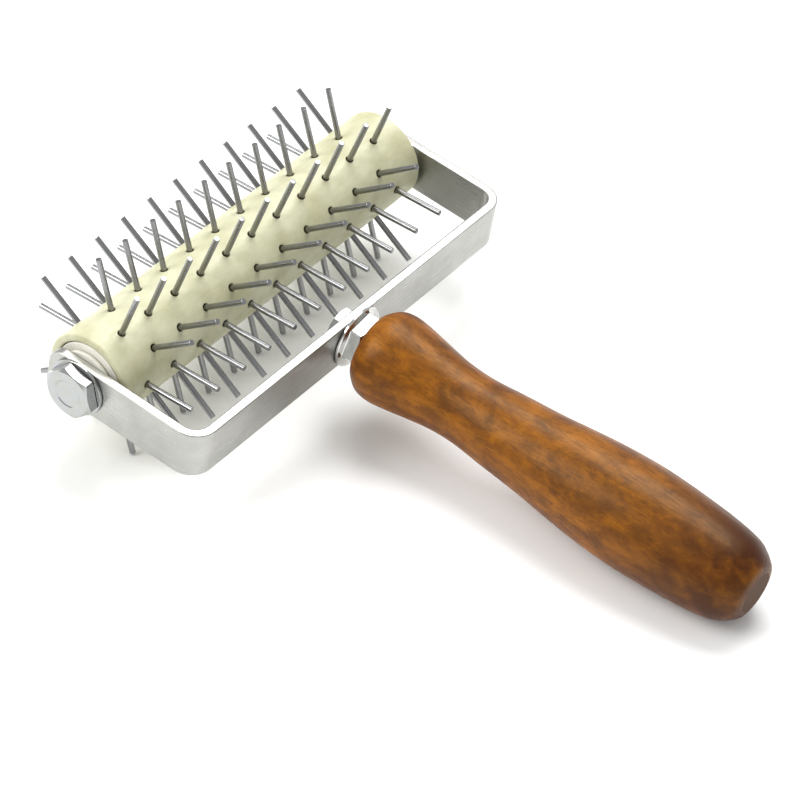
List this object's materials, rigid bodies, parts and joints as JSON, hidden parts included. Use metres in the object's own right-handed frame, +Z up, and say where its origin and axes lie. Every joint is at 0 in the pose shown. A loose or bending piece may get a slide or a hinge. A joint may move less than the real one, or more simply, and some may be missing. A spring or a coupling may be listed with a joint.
{
  "type": "uncapping roller",
  "caption": "Hand roller set with steel pins that turns freely in a U-shaped steel frame with a turned wooden handle; rolled over honeycomb to pierce the wax cappings.",
  "frame": {"origin": "centre of the bounding box, on the table that the tool rests on", "axes": "X along the roller's axle, -Y towards the handle's butt, +Z up; the tool leans about X until two rows of pins and the butt touch the table"},
  "size_m": [0.129, 0.185, 0.0509],
  "materials": {
    "frame_steel": "satin, lightly brushed flat bar",
    "zinc_plated_steel": "bright zinc plate",
    "pin_steel": "bright drawn wire with cropped ends",
    "cream_plastic": "moulded, slightly translucent cream",
    "white_nylon": "moulded nylon",
    "varnished_wood": "turned hardwood under clear gloss varnish"
  },
  "bodies": {
    "frame": {"u_frame": "frame_steel", "axle_bolt": "zinc_plated_steel", "axle_washer": "zinc_plated_steel", "side_spacer_left": "white_nylon", "side_spacer_right": "white_nylon", "handle": "varnished_wood", "handle_bolt": "zinc_plated_steel", "flanged_nut": "zinc_plated_steel"},
    "roller": {"drum": "cream_plastic", "core_sleeve": "white_nylon", "end_bush_left": "white_nylon", "end_bush_right": "white_nylon", "pin_strip_01": "pin_steel", "pin_strip_02": "pin_steel", "pin_strip_03": "pin_steel", "pin_strip_04": "pin_steel", "pin_strip_05": "pin_steel", "pin_strip_06": "pin_steel", "pin_strip_07": "pin_steel", "pin_strip_08": "pin_steel", "pin_strip_09": "pin_steel", "pin_strip_10": "pin_steel"}
  },
  "joints": [
    {"name": "roller_spin", "type": "hinge", "parent": "frame", "child": "roller", "pos_m": [0.00205, 0.06595, 0.02545], "axis": [1, 0, 0], "continuous": true}
  ]
}
